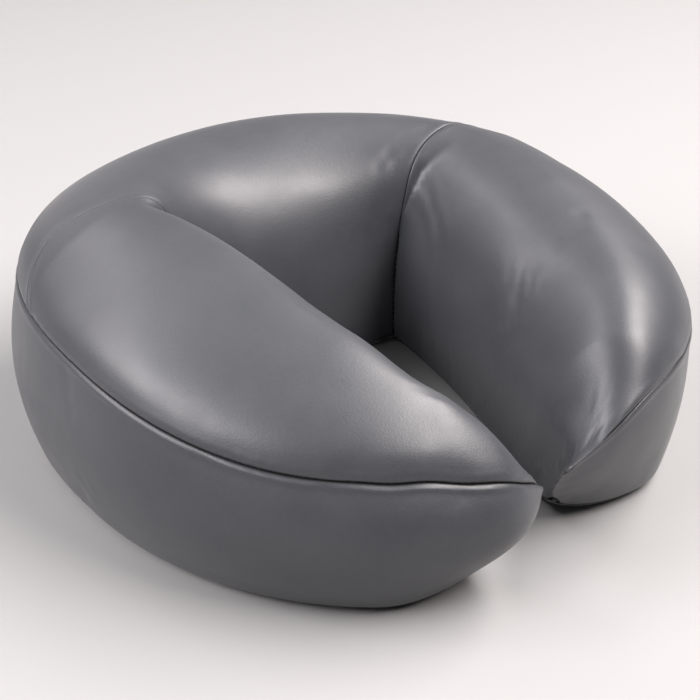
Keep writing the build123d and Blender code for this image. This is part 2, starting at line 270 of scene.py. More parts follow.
def stations(low, high, rows):
    """Stations from low to high, spaced as rows says by their distance along the top seam."""
    t = np.linspace(low, high, 2001)
    along = travelled(both(t, band_lines)[:, -1])
    return np.interp(rows(along[-1]), along, t)


BEND = {1: 0.05, -1: 0.045}  # how far the cross seams lean back over the crest, in stations
BEND_WIDTH = 0.19  # how far to both sides the panels lean with them, in stations
BEND_FROM, BEND_TO = 0.30, 0.88  # parts of the face line where that starts and ends


def bent_faces(t):
    """Face lines for stations t, with the cross seams leaning towards the crown on top."""
    dense = np.linspace(-1, 1, 1201)
    table = both(dense, face_lines)
    along = np.arange(FINE) / (FINE - 1)
    lean = np.clip(along / BEND_FROM, 0, 1) * np.clip((BEND_TO - along) / (BEND_TO - 0.5), 0, 1)
    lean = lean**2 * (3 - 2 * lean)
    share = np.exp(-(((np.abs(t) - CROSS) / BEND_WIDTH) ** 2))
    bend = np.where(t >= 0, BEND[1], -BEND[-1])
    at = t[:, None] - (bend * share)[:, None] * lean
    out = np.zeros((len(t), FINE, 3))
    for j in range(FINE):
        for k in range(3):
            out[:, j, k] = np.interp(at[:, j], dense, table[:, j, k])
    return out


PANELS = {
    # name: (lines, from station, to station, along count, across count)
    "crown": (face_lines, -CROSS, CROSS, 92, 100),
    "left_cheek": (face_lines, -1.0, -CROSS, 130, 100),
    "right_cheek": (face_lines, CROSS, 1.0, 130, 100),
    "band": (band_lines, -1.0, 1.0, 430, 40),
}


def grid(name):
    """A panel's grid of points, from the seam across, and the stations of its lines."""
    lines, low, high, along, across = PANELS[name]
    t = stations(low, high, edged(along))
    return by_length(bent_faces(t) if lines is face_lines else both(t, lines), edged(across)), t


def unit(v):
    return v / (np.linalg.norm(v, axis=-1, keepdims=True) + 1e-12)


def normals(p):
    return unit(np.cross(np.gradient(p, axis=0), np.gradient(p, axis=1)))


BAND_CENTRE = np.array([0.0, -20.0])


def outward(p):
    """+1 or -1 for a grid, so that its normals point away from the middle of its sections."""
    return np.sign(((p - p.mean(1, keepdims=True)) * normals(p)).sum(-1).mean())


def side_of(name, p):
    """+1 or -1, so that a panel's normals point out of the cushion."""
    if name == "band":
        return np.sign(((p[..., :2] - BAND_CENTRE) * normals(p)[..., :2]).sum(-1).mean())
    return outward(p)


def panel_normals(name, p):
    return normals(p) * side_of(name, p)


def edge_distances(p):
    """Distances over the surface to the first and last station and to the first and last row."""
    da = np.linalg.norm(np.diff(p, axis=0), axis=-1)
    db = np.linalg.norm(np.diff(p, axis=1), axis=-1)
    a = np.concatenate([np.zeros((1, p.shape[1])), np.cumsum(da, 0)])
    b = np.concatenate([np.zeros((p.shape[0], 1)), np.cumsum(db, 1)], 1)
    return a, a[-1:] - a, b, b[:, -1:] - b


def roll(d, radius):
    """How far a turned-in edge has sunk at a distance from its seam."""
    r = np.clip(radius - d, 0, radius)
    return radius - np.sqrt(radius**2 - r**2)


def turned_out(points, faces):
    """The faces of a closed piece, wound so that they look outwards."""
    a = points[faces[:, 0]]
    volume = 0.0
    for k in range(1, faces.shape[1] - 1):
        volume += (a * np.cross(points[faces[:, k]], points[faces[:, k + 1]])).sum()
    return faces if volume > 0 else faces[:, ::-1]


def build_mesh(name, points, faces, uv=None):
    """A smooth mesh object from points in mm. Faces of four corners come as one array."""
    if isinstance(faces, np.ndarray):
        faces = turned_out(points, faces).tolist()
    mesh = bpy.data.meshes.new(name)
    mesh.from_pydata((points * MM).tolist(), [], faces)
    mesh.polygons.foreach_set("use_smooth", np.ones(len(mesh.polygons), bool))
    if uv is not None:
        layer = mesh.uv_layers.new(name="seam")
        loops = np.zeros(len(mesh.loops), int)
        mesh.loops.foreach_get("vertex_index", loops)
        layer.data.foreach_set("uv", uv[loops].astype(np.float32).ravel())
    mesh.update()
    o = bpy.data.objects.new(name, mesh)
    bpy.context.scene.collection.objects.link(o)
    return o


def quads(index):
    """The faces of a grid of point numbers."""
    return np.stack([index[:-1, :-1], index[1:, :-1], index[1:, 1:], index[:-1, 1:]], -1).reshape(-1, 4)


def shell(name, outer, inner, uv=None):
    """A closed shell between two grids."""
    n, m = outer.shape[:2]
    top = np.arange(n * m).reshape(n, m)
    low = top + n * m
    rim_top = np.concatenate([top[:, 0], top[-1, 1:], top[-2::-1, -1], top[0, -2:0:-1]])
    rim_low = rim_top + n * m
    sides = np.stack([rim_top, np.roll(rim_top, -1), np.roll(rim_low, -1), rim_low], -1)
    faces = np.concatenate([quads(top), quads(low)[:, ::-1], sides[:, ::-1]])
    points = np.concatenate([outer.reshape(-1, 3), inner.reshape(-1, 3)])
    if uv is not None:
        uv = np.concatenate([uv.reshape(-1, 2)] * 2)
    return build_mesh(name, points, faces, uv)


# ---------------------------------------------------------------- the cover as simulated cloth
COARSE = {"crown": (34, 40), "left_cheek": (46, 38), "right_cheek": (46, 38), "band": (190, 18)}
FRAMES = 20
SLACK_FROM, SLACK_LENGTH = -60.0, 80.0  # the vinyl is looser towards the tips, from this y on
BROAD = {"crown": 5, "left_cheek": 5, "right_cheek": 5, "band": 4}  # cells of swell left out
PULL_CAP = 2.0  # the most that a fold may move a point, in mm
DETAIL_SHARE = 0.6  # how much of the folds the cover takes


def coarse_grid(name):
    """A panel's grid for the simulation."""
    lines, low, high, _, _ = PANELS[name]
    along, across = COARSE[name]
    t = stations(low, high, even(along))
    return by_length(both(t, lines), even(across))


def smooth(values, reach):
    """Values on a grid, averaged over a few cells each way."""
    weights = np.exp(-0.5 * (np.arange(-3 * reach, 3 * reach + 1) / reach) ** 2)
    weights /= weights.sum()
    for axis in (0, 1):
        pad = [(0, 0)] * values.ndim
        pad[axis] = (3 * reach, 3 * reach)
        wide = np.pad(values, pad, mode="reflect")
        size = values.shape[axis]
        values = sum(w * np.take(wide, np.arange(i, i + size), axis=axis) for i, w in enumerate(weights))
    return values


def simulate():
    """Inflates the four panels of vinyl against their sewn edges.

    Returns the folds that this leaves: each point's way outwards without the broad swell."""
    grids = {name: coarse_grid(name) for name in PANELS}
    points, faces, held, slack, base = [], [], [], [], 0
    for name, p in grids.items():
        n, m = p.shape[:2]
        index = np.arange(n * m).reshape(n, m) + base
        q = quads(index)
        if side_of(name, p) < 0:
            q = q[:, ::-1]
        points.append(p.reshape(-1, 3))
        faces.append(q)
        edge = np.zeros((n, m), bool)
        edge[[0, -1]] = True
        edge[:, [0, -1]] = True
        held += index[edge].tolist()
        slack.append(np.clip((SLACK_FROM - p[..., 1]) / SLACK_LENGTH, 0, 1).ravel())
        base += n * m
    o = build_mesh("cloth", np.concatenate(points), np.concatenate(faces))
    pins = o.vertex_groups.new(name="pins")
    pins.add(held, 1.0, "REPLACE")
    loose = o.vertex_groups.new(name="loose")
    for i, w in enumerate(np.concatenate(slack)):
        loose.add([i], float(w), "REPLACE")
    mod = o.modifiers.new("cloth", "CLOTH")
    c = mod.settings
    c.quality = 6
    c.mass = 0.25
    c.tension_stiffness = c.compression_stiffness = 18
    c.shear_stiffness = 6
    c.bending_stiffness = 0.25
    c.vertex_group_mass = "pins"
    c.vertex_group_shrink = "loose"
    c.shrink_min = -0.001
    c.shrink_max = -0.010
    c.use_pressure = True
    c.uniform_pressure_force = 4
    c.effector_weights.gravity = 0
    mod.collision_settings.use_collision = False
    mod.collision_settings.use_self_collision = False
    mod.point_cache.frame_start, mod.point_cache.frame_end = 1, FRAMES
    for f in range(1, FRAMES + 1):
        bpy.context.scene.frame_set(f)
    moved = o.evaluated_get(bpy.context.evaluated_depsgraph_get()).data
    out = np.zeros(len(moved.vertices) * 3)
    moved.vertices.foreach_get("co", out)
    out = out.reshape(-1, 3) / MM
    bpy.context.scene.frame_set(1)
    bpy.data.objects.remove(o)
    detail, base = {}, 0
    for name, p in grids.items():
        n, m = p.shape[:2]
        q = out[base : base + n * m].reshape(n, m, 3)
        base += n * m
        rise = ((q - p) * panel_normals(name, p)).sum(-1)
        rise = rise - smooth(rise, BROAD[name])
        detail[name] = np.clip(rise, -PULL_CAP, PULL_CAP)
    return detail


def cubic(values, rows, columns):
    """A coarse grid's values at the fractions rows x columns of a fine grid."""
    for axis, at in ((0, rows), (1, columns)):
        size = values.shape[axis]
        x = at * (size - 1)
        i = np.clip(np.floor(x).astype(int), 0, size - 2)
        f = x - i
        w = [
            -0.5 * f + f**2 - 0.5 * f**3,
            1 - 2.5 * f**2 + 1.5 * f**3,
            0.5 * f + 2 * f**2 - 1.5 * f**3,
            -0.5 * f**2 + 0.5 * f**3,
        ]
        total = 0
        for k in range(4):
            j = np.clip(i + k - 1, 0, size - 1)
            shape = [1] * values.ndim
            shape[axis] = len(x)
            total = total + w[k].reshape(shape) * np.take(values, j, axis=axis)
        values = total
    return values


def dimple(a, d, at, width, reach, depth):
    """A soft pull in the cover that starts at the seam and fades away from it."""
    fade = np.exp(-((d / reach) ** 1.5)) * (1 - np.exp(-((d / 1.5) ** 2)))
    return depth * np.exp(-(((a - at) / width) ** 2)) * fade


# pulls in the cover along the top seam: distance from the arm's tip, width, reach and depth, in mm
FACE_PULLS = {
    -1: ((26, 6, 16, 0.35), (46, 9, 12, -0.35), (66, 8, 12, 0.3), (104, 6, 12, 0.7), (150, 10, 10, 0.3)),
    1: ((20, 8, 16, 0.35), (40, 9, 16, -0.3), (66, 9, 16, 0.5), (92, 10, 14, 0.5)),
}
BAND_PULLS = {
    -1: ((30, 7, 14, 0.5), (52, 8, 14, 0.4), (106, 5, 12, 0.9), (160, 9, 10, 0.4)),
    1: ((24, 7, 12, 0.5), (58, 8, 12, 0.5), (90, 8, 10, 0.4)),
}
GATHER_PITCH = 7.5  # mm from one pucker to the next


def gathers(a, d, strength):
    """Small uneven puckers along a seam, from the pull of its stitches."""
    wave = np.sin(2 * math.pi * a / GATHER_PITCH + 1.7 * np.sin(a / 13.0))
    wave = wave * (0.6 + 0.4 * np.sin(a / 21.0 + 1))
    return strength * wave * np.exp(-((d / 3.5) ** 2)) * (1 - np.exp(-((d / 1.0) ** 2)))


def soft_noise(p, size, seed):
    """A smooth random field over space, about -1 to 1, as a sum of waves."""
    r = np.random.default_rng(seed)
    total = np.zeros(p.shape[:-1])
    for _ in range(14):
        way = r.normal(size=3)
        way /= np.linalg.norm(way)
        total += np.sin(p @ way * 2 * math.pi / (size * r.uniform(0.7, 1.5)) + r.uniform(0, 7))
    return total / 4.0


SEAM_REACH = 3.0  # mm over which a panel's edge turns to the seam's own direction
# radius of the roll of the vinyl into each seam
TOP_ROLL, CROSS_ROLL, TIP_ROLL, BASE_ROLL = 1.15, 1.0, 1.1, 4.0
END_ROLLS = {
    # name: (at the first station, at the last station)
    "band": (TIP_ROLL, TIP_ROLL),
    "crown": (CROSS_ROLL / 2, CROSS_ROLL),
    "left_cheek": (TIP_ROLL, CROSS_ROLL / 2),
    "right_cheek": (CROSS_ROLL, TIP_ROLL),
}


def seam_ways(grids, ways):
    """The direction out of each seam: the mean of its two panels' directions.

    Returns {panel: [(edge, directions)]}."""
    t_band = grids["band"][1]
    band = ways["band"]
    result = {name: [] for name in PANELS}
    faces = ("left_cheek", "crown", "right_cheek")
    t_face = np.concatenate([grids[k][1] for k in faces])
    low = np.concatenate([ways[k][:, 2] for k in faces])
    result["band"].append(("high", unit(band[:, -3] + match(low, t_face, t_band))))
    for k in faces:
        result[k].append(("low", unit(ways[k][:, 2] + match(band[:, -3], t_band, grids[k][1]))))
    for cheek, mine, yours in (("left_cheek", -1, 0), ("right_cheek", 0, -1)):
        mean = unit(ways[cheek][mine] + ways["crown"][yours])
        result[cheek].append(("last" if mine else "first", mean))
        result["crown"].append(("last" if yours else "first", mean))
    for cheek, end in (("left_cheek", 0), ("right_cheek", -1)):
        a, b = np.linspace(0, 1, band.shape[1]), np.linspace(0, 1, ways[cheek].shape[1])
        inner = 2 if end == 0 else -3
        mean = unit(band[inner][::-1] + match(ways[cheek][inner], b, a))
        result["band"].append(("first" if end == 0 else "last", mean[::-1]))
        result[cheek].append(("first" if end == 0 else "last", match(mean, a, b)))
    return result


def spread_edge(edge, values, shape):
    """An edge's values repeated over the whole grid."""
    if edge in ("first", "last"):
        return np.broadcast_to(values[None], shape)
    return np.broadcast_to(values[:, None], shape)


SWELL, SWELL_SIZE, SWELL_SEED = 0.4, 80.0, 5  # broad unevenness of the filled cover
SWELL_MARGIN, DETAIL_MARGIN = 12.0, 4.0  # both fade out this far from the seams
GATHER, TIP_GATHER, TIP_GATHER_REACH = 0.10, 0.16, 70.0  # puckers, deeper near the tips
SEAM_UV = 100  # mm from a seam in one unit of the map that places painted shade on the vinyl beside it


def rim(d, height, at, width):
    """The low ridge of doubled vinyl beside a seam."""
    return height * np.exp(-(((d - at) / width) ** 2))


detail = simulate()
grids = {name: grid(name) for name in PANELS}
own_ways = {name: panel_normals(name, g[0]) for name, g in grids.items()}
edges_out = seam_ways(grids, own_ways)
covers, surfaces = {}, {}
for name, (p, t) in grids.items():
    nrm = own_ways[name]
    first, last, low, high = edge_distances(p)
    away = {"first": first, "last": last, "low": low, "high": high}
    for side, values in edges_out[name]:
        w = np.exp(-((away[side] / SEAM_REACH) ** 2))[..., None]
        nrm = unit(nrm * (1 - w) + spread_edge(side, values, p.shape) * w)
    tip = {-1: first, 1: last}
    if name == "band":
        seam, hem = high, low
        ridge = rim(high, 0.5, 2.3, 1.2)
        pulls = sum(dimple(tip[side], high, *pull) for side in (1, -1) for pull in BAND_PULLS[side])
    else:
        seam, hem = low, high
        ridge = rim(low, 0.25, 3.0, 1.8) + rim(np.minimum(first, last), 0.3, 2.6, 1.5)
        pulls = np.zeros_like(low)
        for side, cheek in ((1, "right_cheek"), (-1, "left_cheek")):
            if name == cheek:
                pulls = sum(dimple(tip[side], low, *pull) for pull in FACE_PULLS[side])
    at_first, at_last = END_ROLLS[name]
    sink = [roll(seam, TOP_ROLL), roll(hem, BASE_ROLL), roll(first, at_first), roll(last, at_last)]
    sink = np.maximum.reduce(sink)
    near_tip = np.exp(-(np.minimum(first, last) / TIP_GATHER_REACH)) if name != "crown" else 0.0
    shape = ridge - pulls + gathers(first, seam, GATHER + TIP_GATHER * near_tip)
    edge = np.minimum.reduce([first, last, low, high])
    swell = soft_noise(p, SWELL_SIZE, SWELL_SEED) * np.clip(edge / SWELL_MARGIN, 0, 1)
    shape = shape + SWELL * swell
    if detail is not None:
        rows = first[:, p.shape[1] // 2]
        columns = low / (low[:, -1:] + 1e-9)
        fine = cubic(detail[name], rows / rows[-1], columns[len(columns) // 2])
        shape = shape + DETAIL_SHARE * fine * np.clip(edge / DETAIL_MARGIN, 0, 1)
    surfaces[name] = (p, nrm)
    outer = p + nrm * (shape - sink)[..., None]
    inner = outer - nrm * VINYL
    covers[name] = shell(name + "_cover", outer, inner, np.stack([first, seam], -1) / SEAM_UV)


# ---------------------------------------------------------------- foam inside the cover
FOAM_INSET = 6.5  # below the cover's outside
FOAM_SPLIT = 56.0  # height where the topper lies on the base
FOAM_GAP = 0.3
FOAM_END = 0.86  # station where the foam ends
FOAM_LOW = 5.5
ARCH = 48  # points over a topper's section


def inset_lines(count):
    """The cover's whole section at every station, drawn in, from the outer to the inner lower edge."""
    t = np.linspace(-FOAM_END, FOAM_END, count)
    line = np.concatenate([both(t, band_lines), both(t, face_lines)[:, 1:]], 1)
    line = by_length(line, even(90))
    return line - normals(line) * FOAM_INSET * outward(line)


def at_heights(side, z):
    """Points on one side of a section at heights z."""
    order = np.argsort(side[:, 2])
    side = side[order]
    return np.stack([np.interp(z, side[:, 2], side[:, 0]), np.interp(z, side[:, 2], side[:, 1]), z], -1)


def foam_pieces():
    """The firm foam base and the softer topper on it."""
    sections = inset_lines(120)
    outer, inner, dome, flat = [], [], [], []
    levels = np.linspace(FOAM_LOW, FOAM_SPLIT, 14)
    for line in sections:
        crest = int(np.argmax(line[:, 2]))
        left, right = line[: crest + 1], line[crest:]
        outer.append(at_heights(left, levels))
        inner.append(at_heights(right, levels))
        split = FOAM_SPLIT + FOAM_GAP
        start, end = (at_heights(part, np.array([split]))[0] for part in (left, right))
        arch = np.concatenate([[start], line[line[:, 2] > split], [end]])
        dome.append(by_length([arch], even(ARCH))[0])
        flat.append(start + (end - start) * np.linspace(0, 1, ARCH)[:, None])
    base = shell("foam_base_piece", np.array(outer), np.array(inner))
    topper = shell("foam_topper_piece", np.array(dome), np.array(flat))
    return base, topper


# ---------------------------------------------------------------- thread in the seams
STITCH_PITCH = 3.2
STITCH_LENGTH = 2.3
STITCH_RADIUS = 0.32
SEAM_DEPTH = 1.7  # how far the thread lies below the cover's own line


def capsule(points, radius, sides=6):
    """A closed tube with drawn-in ends through a few points."""
    points = np.array(points, float)
    way = unit(np.gradient(points, axis=0))
    ref = np.array([0.0, 0, 1]) if abs(way[0, 2]) < 0.9 else np.array([1.0, 0, 0])
    x = unit(np.cross(way, ref))
    y = np.cross(way, x)
    ring = np.linspace(0, 2 * math.pi, sides, endpoint=False)
    size = np.full(len(points), radius)
    size[[0, -1]] = 0.45 * radius
    around = np.cos(ring)[None, :, None] * x[:, None] + np.sin(ring)[None, :, None] * y[:, None]
    rings = points[:, None] + size[:, None, None] * around
    n = len(points)
    index = np.arange(n * sides).reshape(n, sides)
    faces = []
    for i in range(n - 1):
        for j in range(sides):
            k = (j + 1) % sides
            faces.append([index[i, j], index[i, k], index[i + 1, k], index[i + 1, j]])
    faces.append(list(index[0][::-1]))
    faces.append(list(index[-1]))
    return rings.reshape(-1, 3), faces


def many(name, parts):
    """One mesh of many small closed ones."""
    points, faces, base = [], [], 0
    for p, f in parts:
        points.append(p)
        faces += [[int(v) + base for v in face] for face in f]
        base += len(p)
    return build_mesh(name, np.concatenate(points), faces)


def stitches(path, up=None, pitch=STITCH_PITCH, length=STITCH_LENGTH, radius=STITCH_RADIUS, arch=0.25):
    """A row of stitches along a path, each a short arched thread."""
    along = travelled(path)
    parts = []
    for start in np.arange(pitch / 2, along[-1] - length - 0.3, pitch):
        at = start + length * np.linspace(0, 1, 5)
        points = match(path, along, at)
        if up is not None:
            points = points + arch * np.sin(np.linspace(0, math.pi, 5))[:, None] * match(up, along, at)
        parts.append(capsule(points, radius))
    return parts


def sunk_edge(name, edge, depth):
    """The line of a panel's edge, sunk into the cover, and the way out of it."""
    p, nrm = surfaces[name]
    if edge in ("low", "high"):
        p, nrm = p.swapaxes(0, 1), nrm.swapaxes(0, 1)
    row = 0 if edge in ("first", "low") else -1
    return p[row] - nrm[row] * depth, nrm[row]


# ---------------------------------------------------------------- underside
BASE_LOW, BASE_TOP = 2.4, 3.6  # heights of the base fabric's two sides
BASE_END = 0.995  # station where the base fabric ends
BASE_MARGIN = 2.6  # from the cover's lower edges to the fabric's
ZIP_Y = 112.0
SLOT_HALF = 80.0  # half length and half width of the slot
SLOT_WIDTH = 8.0
ZIP_HALF = 66.0  # half length of the coil


def base_piece():
    """The woven base fabric, a horseshoe with the zip's slot cut out of it."""
    t = stations(-BASE_END, BASE_END, even(260))
    outer_edge = both(t, band_lines)[:, 0]
    inner_edge = both(t, face_lines)[:, -1]
    share = np.linspace(0, 1, 40)[None, :, None]
    drawn = BASE_MARGIN / np.linalg.norm(inner_edge - outer_edge, axis=1)[:, None, None]
    flat = outer_edge[:, None] + (inner_edge - outer_edge)[:, None] * (drawn + share * (1 - 2 * drawn))
    ripple = 0.12 * np.sin(flat[..., 0] / 9.0) * np.sin(flat[..., 1] / 11.0)
    upper, lower = flat.copy(), flat.copy()
    upper[..., 2] += BASE_TOP - LIFT
    lower[..., 2] += BASE_LOW - LIFT + ripple
    return shell("base_fabric", upper, lower)


def level(gx, gy, z):
    """A flat grid at height z."""
    return np.stack([gx, gy, np.full_like(gx, z)], -1)


def cut_slot(o):
    """Cuts the zip's slot out of the base fabric."""
    x, y = (-SLOT_HALF, SLOT_HALF), (ZIP_Y - SLOT_WIDTH, ZIP_Y + SLOT_WIDTH)
    gx, gy = np.meshgrid(x, y, indexing="ij")
    cutter = shell("cutter", level(gx, gy, 12.0), level(gx, gy, -5.0))
    mod = o.modifiers.new("slot", "BOOLEAN")
    mod.object = cutter
    mod.solver = "EXACT"
    bpy.context.view_layer.objects.active = o
    bpy.ops.object.modifier_apply(modifier=mod.name)
    bpy.data.objects.remove(cutter)


def rounded_outline(x, y, half_x, half_y, radius, count=10):
    """Points round a rectangle with rounded corners."""
    points = []
    for k, (sx, sy) in enumerate(((1, 1), (-1, 1), (-1, -1), (1, -1))):
        turn = np.linspace(k * math.pi / 2, (k + 1) * math.pi / 2, count)
        cx, cy = x + sx * (half_x - radius), y + sy * (half_y - radius)
        points.append(np.stack([cx + radius * np.cos(turn), cy + radius * np.sin(turn)], -1))
    return np.concatenate(points)


PILE_CELL = 0.75  # between the points that the loops are made of
STRIP_CORNER = 6.0  # radius
STRIP_SEAM = 3.4  # from the strip's edge to its row of stitches
STRIP_GROUND, STRIP_TOP = 1.35, 2.34  # heights of the woven ground's two sides


def pile_strip(name, x, y, size_x, size_y):
    """A loop strip: woven ground with a pile of tiny loops that faces down."""
    nx, ny = int(size_x / PILE_CELL), int(size_y / PILE_CELL)
    gx, gy = np.meshgrid(np.linspace(-1, 1, nx), np.linspace(-1, 1, ny), indexing="ij")
    half_x, half_y, radius = size_x / 2, size_y / 2, STRIP_CORNER
    px, py = gx * half_x, gy * half_y
    over_x = np.abs(px) - (half_x - radius)
    over_y = np.abs(py) - (half_y - radius)
    corner = (over_x > 0) & (over_y > 0)
    far = np.maximum(np.abs(over_x), np.abs(over_y)) + 1e-9
    near = np.hypot(over_x, over_y) + 1e-9
    px = np.where(corner, np.sign(px) * (half_x - radius + over_x * far / near), px)
    py = np.where(corner, np.sign(py) * (half_y - radius + over_y * far / near), py)
    edge = np.minimum(half_x - np.abs(px), half_y - np.abs(py))
    pile = np.clip((edge - 1.6) / 1.2, 0, 1)
    stitched = np.exp(-(((edge - STRIP_SEAM) / 0.7) ** 2))
    loops = 0.5 + 0.5 * dice.random(px.shape)
    z = STRIP_GROUND - pile * (0.85 + 0.3 * loops) + 0.55 * stitched
    z = np.where(edge < 0.3, STRIP_GROUND, z)
    low = np.stack([px + x, py + y, z], -1)
    return shell(name, level(px + x, py + y, STRIP_TOP), low)


def strip_stitches(x, y, size_x, size_y):
    """The thread round a loop strip."""
    ring = rounded_outline(x, y, size_x / 2 - STRIP_SEAM, size_y / 2 - STRIP_SEAM, 3.0)
    ring = np.concatenate([ring, ring[:1]])
    path = np.column_stack([ring, np.full(len(ring), 0.75)])
    down = np.tile(np.array([0.0, 0, -1.0]), (len(path), 1))
    return stitches(path, down, pitch=2.8, length=2.1, radius=0.24)


COIL_PITCH, COIL_RADIUS = 1.3, 0.235
COIL_OUT, COIL_HALF_WIDTH = 1.25, 0.98  # a half coil's middle line from the zip's, and its reach
COIL_Z, COIL_HALF_HEIGHT = 2.975, 0.38
COIL_SHIFT = 0.32  # moves the two halves along, so that their turns mesh


def coil_piece(name, side):
    """One half of the zip's coil: a flattened helix of monofilament."""
    turns = int(2 * ZIP_HALF / COIL_PITCH)
    t = np.linspace(0, turns, turns * 10 + 1)
    x = -ZIP_HALF + 0.35 + (2 * ZIP_HALF - 0.7) * t / turns + side * COIL_SHIFT
    y = ZIP_Y + side * (COIL_OUT - COIL_HALF_WIDTH * np.cos(2 * math.pi * t))
    z = COIL_Z + COIL_HALF_HEIGHT * np.sin(2 * math.pi * t)
    points = np.stack([np.clip(x, -ZIP_HALF + 0.3, ZIP_HALF - 0.3), y, z], -1)
    return many(name, [capsule(points, COIL_RADIUS)])


TAPE_HALF = 80.0  # half length
TAPE_INNER, TAPE_OUTER = 1.2, 14.2  # its edges, from the zip's middle line
TAPE_LOW, TAPE_TOP = 3.72, 4.2  # heights of its two sides
TAPE_BEAD = 3.4  # the bead's distance from the zip's middle line


def tape_piece(name, side):
    """One of the zip's tapes: a herringbone weave with a bead along the coil."""
    x = np.linspace(-TAPE_HALF, TAPE_HALF, 320)
    y = np.linspace(ZIP_Y + side * TAPE_INNER, ZIP_Y + side * TAPE_OUTER, 40)
    gx, gy = np.meshgrid(x, y, indexing="ij")
    weave = 0.05 * np.sin(gy * 5.5 + np.abs(np.mod(gx, 4) - 2) * 2.0)
    bead = 0.14 * np.exp(-(((np.abs(gy - ZIP_Y) - TAPE_BEAD) / 0.4) ** 2))
    low = np.stack([gx, gy, TAPE_LOW - weave - bead], -1)
    high = np.stack([gx, gy, TAPE_TOP + weave], -1)
    return shell(name, high, low)


HEM_OUT, HEM_IN = 2.0, 2.6  # how far the hem reaches outside and inside the slot's edge
HEM_LOW = 1.75
# the hem's section: part of its width from the outside in, and height over HEM_LOW
HEM_SECTION = np.array(
    [(0, 0.35), (0.2, 0), (0.5, -0.08), (0.8, 0), (1, 0.35), (0.8, 0.62), (0.5, 0.66), (0.2, 0.62)]
)


def hem_piece():
    """The folded hem round the slot, one closed ring of fabric."""
    outer_ring = rounded_outline(0, ZIP_Y, SLOT_HALF + HEM_OUT, SLOT_WIDTH + HEM_OUT, 2.4)
    inner_ring = rounded_outline(0, ZIP_Y, SLOT_HALF - HEM_IN, SLOT_WIDTH - HEM_IN, 1.0)
    across, high = HEM_SECTION.T
    flat = outer_ring[:, None] + (inner_ring - outer_ring)[:, None] * across[:, None]
    points = np.concatenate([flat, np.broadcast_to(HEM_LOW + high[:, None], flat.shape[:2] + (1,))], -1)
    index = np.arange(flat.shape[0] * flat.shape[1]).reshape(flat.shape[:2])
    index = np.concatenate([index, index[:1]])
    index = np.concatenate([index, index[:, :1]], 1)
    return build_mesh("slot_hem", points.reshape(-1, 3), quads(index)[:, ::-1])


# ---------------------------------------------------------------- materials
class Nodes:
    """A short way to write a material's node tree."""

    def __init__(self, name):
        self.material = bpy.data.materials.new(name)
        self.material.use_nodes = True
        self.tree = self.material.node_tree
        self.surface = self.tree.nodes["Principled BSDF"]

    def add(self, kind, inputs=(), **settings):
        node = self.tree.nodes.new("ShaderNode" + kind)
        for key, value in settings.items():
            setattr(node, key, value)
        for key, value in dict(inputs).items():
            self.link(value, node.inputs[key])
        return node

    def link(self, value, socket):
        if isinstance(value, bpy.types.NodeSocket):
            self.tree.links.new(value, socket)
        else:
            socket.default_value = value

    def place(self):
        return self.add("TexCoord").outputs["Object"]

    def noise(self, scale, detail=4.0, rough=0.5):
        inputs = {"Vector": self.place(), "Scale": scale, "Detail": detail, "Roughness": rough}
        return self.add("TexNoise", inputs).outputs["Fac"]

    def cells(self, scale, feature="SMOOTH_F1"):
        inputs = {"Vector": self.place(), "Scale": scale}
        return self.add("TexVoronoi", inputs, feature=feature).outputs["Distance"]

    def wave(self, scale, distortion, **settings):
        inputs = {"Vector": self.place(), "Scale": scale, "Distortion": distortion}
        return self.add("TexWave", inputs, **settings).outputs["Fac"]

    def math(self, kind, a, b=0.0):
        return self.add("Math", {0: a, 1: b}, operation=kind).outputs[0]

    def fit(self, value, low, high, to_low=0.0, to_high=1.0):
        inputs = {"Value": value, "From Min": low, "From Max": high, "To Min": to_low, "To Max": to_high}
        return self.add("MapRange", inputs).outputs["Result"]

    def mix(self, factor, a, b):
        node = self.add("Mix", data_type="RGBA")
        self.link(factor, node.inputs[0])
        self.link((*a, 1) if isinstance(a, tuple) else a, node.inputs[6])
        self.link((*b, 1) if isinstance(b, tuple) else b, node.inputs[7])
        return node.outputs[2]

    def bump(self, height, distance, strength=1.0, after=None):
        inputs = {"Height": height, "Distance": distance, "Strength": strength}
        if after is not None:
            inputs["Normal"] = after
        return self.add("Bump", inputs).outputs["Normal"]

    def set(self, **inputs):
        for key, value in inputs.items():
            self.link(value, self.surface.inputs[key.replace("_", " ")])


VINYL_DARK = (0.033, 0.036, 0.043)
VINYL_LIGHT = (0.042, 0.045, 0.052)
VINYL_WORN = (0.07, 0.068, 0.072)
# painted shade: near-black colour for the vinyl just beside each seam
PAINTED_SEAM_SHADE = (0.006, 0.006, 0.008)


def vinyl_material():
    """Satin upholstery vinyl: slate grey, a fine pebble grain, faint mottling, and painted shade along
    the seams.
    """
    n = Nodes("vinyl")
    mottle = n.noise(14.0, 3.0)
    fine = n.noise(420.0, 3.0)
    tone = n.mix(n.fit(mottle, 0.35, 0.65), VINYL_DARK, VINYL_LIGHT)
    tone = n.mix(n.fit(fine, 0.3, 0.7, 0.0, 0.12), tone, VINYL_WORN)
    from_seam = n.add("UVMap", uv_map="seam").outputs["UV"]
    from_seam = n.add("SeparateXYZ", {"Vector": from_seam}).outputs["Y"]
    # painted shade: the vinyl turns near black within about a millimetre of each seam, as if in the
    # seam's shadow
    tone = n.mix(n.fit(from_seam, 0.002, 0.011), PAINTED_SEAM_SHADE, tone)
    pebble = n.cells(1900.0)
    wrinkle = n.cells(900.0, "F2")
    grain = n.bump(n.math("ADD", pebble, n.math("MULTIPLY", wrinkle, 0.5)), 0.0001, 0.42)
    grain = n.bump(fine, 0.00015, 0.12, grain)
    n.set(
        Base_Color=tone,
        Roughness=n.fit(n.noise(60.0, 2.0), 0.3, 0.7, 0.42, 0.49),
        Normal=grain,
        Specular_IOR_Level=0.5,
        Sheen_Weight=0.1,
        Sheen_Roughness=0.5,
        Coat_Weight=0.06,
        Coat_Roughness=0.3,
    )
    return n.material


